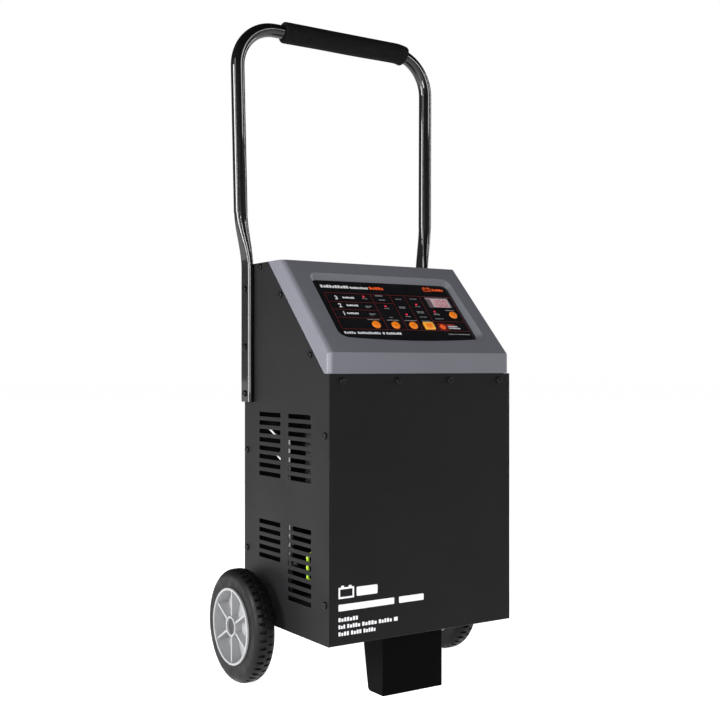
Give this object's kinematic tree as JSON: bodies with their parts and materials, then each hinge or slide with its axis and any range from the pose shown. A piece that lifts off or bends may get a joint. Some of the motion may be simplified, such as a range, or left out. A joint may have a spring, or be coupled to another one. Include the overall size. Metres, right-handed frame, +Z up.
{
  "type": "car battery charger",
  "caption": "Wheeled workshop battery charger: tall vented steel case, sloping control panel, U-shaped push handle with foam grip, rear wheels and a front foot.",
  "frame": {"origin": "on the floor, at the middle of the whole object's footprint box", "axes": "+X to the charger's right seen from behind, -Y is the front with the control panel, +Z up"},
  "size_m": [0.393, 0.2796, 0.9627],
  "materials": {
    "side_paint": "satin powder coat, dark grey",
    "front_paint": "satin powder coat, near black",
    "bezel_plastic": "fine texture, graphite",
    "label_film": "gloss",
    "window_clear": "polished",
    "display_body": "satin",
    "lamp_red": "translucent red",
    "board_green": "solder mask",
    "switch_black": "moulded",
    "button_orange": "gloss",
    "button_amber": "gloss",
    "core_steel": "varnished laminations",
    "winding_copper": "varnished wire",
    "zinc_steel": "zinc plated",
    "sink_aluminium": "extruded",
    "can_black": "shrink sleeve",
    "breaker_grey": "moulded",
    "fan_black": "moulded",
    "guard_chrome": "bright plated wire",
    "wire_earth": "green and yellow insulation",
    "wire_white": "insulation",
    "screw_black": "black oxide",
    "tube_gloss_black": "gloss powder coat",
    "grip_foam": "closed-cell foam",
    "tyre_rubber": "moulded rubber",
    "rim_grey": "fine texture",
    "cap_black": "moulded",
    "foot_paint": "satin powder coat",
    "gland_rubber": "moulded"
  },
  "bodies": {
    "charger": {"left_side_panel": "side_paint", "right_side_panel": "side_paint", "top_panel": "side_paint", "rear_panel": "side_paint", "front_panel": "front_paint", "base_tray": "zinc_steel", "transformer_brackets": "zinc_steel", "transformer_bolts": "zinc_steel", "component_shelf": "zinc_steel", "shelf_pillars": "zinc_steel", "rectifier_diodes": "zinc_steel", "axle": "zinc_steel", "axle_spacers": "zinc_steel", "handle_nuts": "zinc_steel", "board_standoffs": "zinc_steel", "control_bezel": "bezel_plastic", "control_label": "label_film", "display_window": "window_clear", "display_module": "display_body", "indicator_leds": "lamp_red", "control_board": "board_green", "power_board": "board_green", "button_switches": "switch_black", "transformer_core": "core_steel", "transformer_windings": "winding_copper", "rectifier_heatsink": "sink_aluminium", "capacitors": "can_black", "circuit_breaker": "breaker_grey", "fan_frame": "fan_black", "fan_guard": "guard_chrome", "earth_wire": "wire_earth", "lamp_wires": "wire_white", "front_panel_screws": "screw_black", "left_panel_screws": "screw_black", "right_panel_screws": "screw_black", "rear_panel_screws": "screw_black", "handle_screws": "screw_black", "fan_screws": "screw_black", "foot_screws": "screw_black", "axle_bracket_screws": "screw_black", "handle_tube": "tube_gloss_black", "handle_grip": "grip_foam", "left_axle_cap": "cap_black", "right_axle_cap": "cap_black", "front_foot": "foot_paint", "axle_brackets": "foot_paint", "mains_gland": "gland_rubber", "positive_gland": "gland_rubber", "negative_gland": "gland_rubber"},
    "rate_button": {"rate_button": "button_orange"},
    "battery_type_button": {"battery_type_button": "button_orange"},
    "charge_mode_button": {"charge_mode_button": "button_orange"},
    "display_button": {"display_button": "button_orange"},
    "start_button": {"start_button": "button_amber"},
    "left_wheel": {"left_tyre": "tyre_rubber", "left_rim": "rim_grey"},
    "right_wheel": {"right_tyre": "tyre_rubber", "right_rim": "rim_grey"},
    "fan_impeller": {"fan_rotor": "fan_black"}
  },
  "joints": [
    {"name": "left_wheel_spin", "type": "hinge", "parent": "charger", "child": "left_wheel", "pos_m": [-0.17, 0.0598, 0.08], "axis": [1, 0, 0], "continuous": true},
    {"name": "right_wheel_spin", "type": "hinge", "parent": "charger", "child": "right_wheel", "pos_m": [0.17, 0.0598, 0.08], "axis": [1, 0, 0], "continuous": true},
    {"name": "fan_spin", "type": "hinge", "parent": "charger", "child": "fan_impeller", "pos_m": [0, 0.0848, 0.38], "axis": [0, 1, 0], "continuous": true},
    {"name": "rate_button_press", "type": "slide", "parent": "charger", "child": "rate_button", "axis": [0, 0.7343, -0.6788], "range_m": [0, 0.0008], "stiffness_N_per_m": 900, "springref_m": -0.0006},
    {"name": "battery_type_button_press", "type": "slide", "parent": "charger", "child": "battery_type_button", "axis": [0, 0.7343, -0.6788], "range_m": [0, 0.0008], "stiffness_N_per_m": 900, "springref_m": -0.0006},
    {"name": "charge_mode_button_press", "type": "slide", "parent": "charger", "child": "charge_mode_button", "axis": [0, 0.7343, -0.6788], "range_m": [0, 0.0008], "stiffness_N_per_m": 900, "springref_m": -0.0006},
    {"name": "display_button_press", "type": "slide", "parent": "charger", "child": "display_button", "axis": [0, 0.7343, -0.6788], "range_m": [0, 0.0008], "stiffness_N_per_m": 900, "springref_m": -0.0006},
    {"name": "start_button_press", "type": "slide", "parent": "charger", "child": "start_button", "axis": [0, 0.7343, -0.6788], "range_m": [0, 0.0008], "stiffness_N_per_m": 900, "springref_m": -0.0006}
  ]
}
